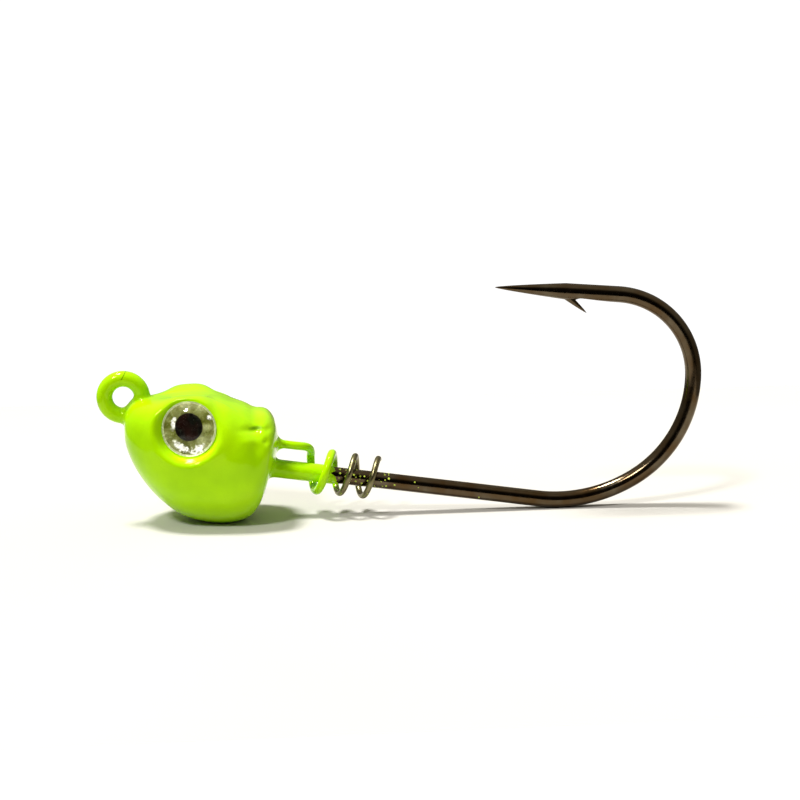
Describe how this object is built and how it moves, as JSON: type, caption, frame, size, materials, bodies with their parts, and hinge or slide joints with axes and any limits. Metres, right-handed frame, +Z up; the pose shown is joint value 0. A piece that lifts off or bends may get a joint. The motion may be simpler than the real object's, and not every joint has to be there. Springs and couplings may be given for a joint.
{
  "type": "jig head",
  "caption": "Swimbait jig head: chartreuse-coated lead fish head with domed eyes, cast on a long barbed hook behind a line eye, with a wire screw-lock bait keeper round the shank.",
  "frame": {"origin": "centre of the footprint's bounding box, on the plane that the head's belly and the hook's bend rest on", "axes": "+X from the fish's nose and line eye to the hook's bend, +Y towards the fish's right side, +Z up, the way the hook's point is above the shank"},
  "size_m": [0.068, 0.0132, 0.0258],
  "materials": {
    "hook_wire": "gloss",
    "lead": "satin",
    "keeper_steel": "satin",
    "powder_coat": "gloss",
    "eye_glue": "satin",
    "eye_foil": "gloss",
    "pupil_ink": "gloss",
    "clear_resin": "gloss"
  },
  "bodies": {
    "root": {"hook": "hook_wire", "hook_eye": "hook_wire", "head_casting": "lead", "keeper_wire": "keeper_steel", "head_coat": "powder_coat", "eye_ring_coat": "powder_coat", "shank_coat": "powder_coat", "keeper_coat": "powder_coat", "left_eye_adhesive": "eye_glue", "left_eye_foil": "eye_foil", "left_eye_pupil": "pupil_ink", "left_eye_dome": "clear_resin", "right_eye_adhesive": "eye_glue", "right_eye_foil": "eye_foil", "right_eye_pupil": "pupil_ink", "right_eye_dome": "clear_resin"}
  },
  "joints": []
}
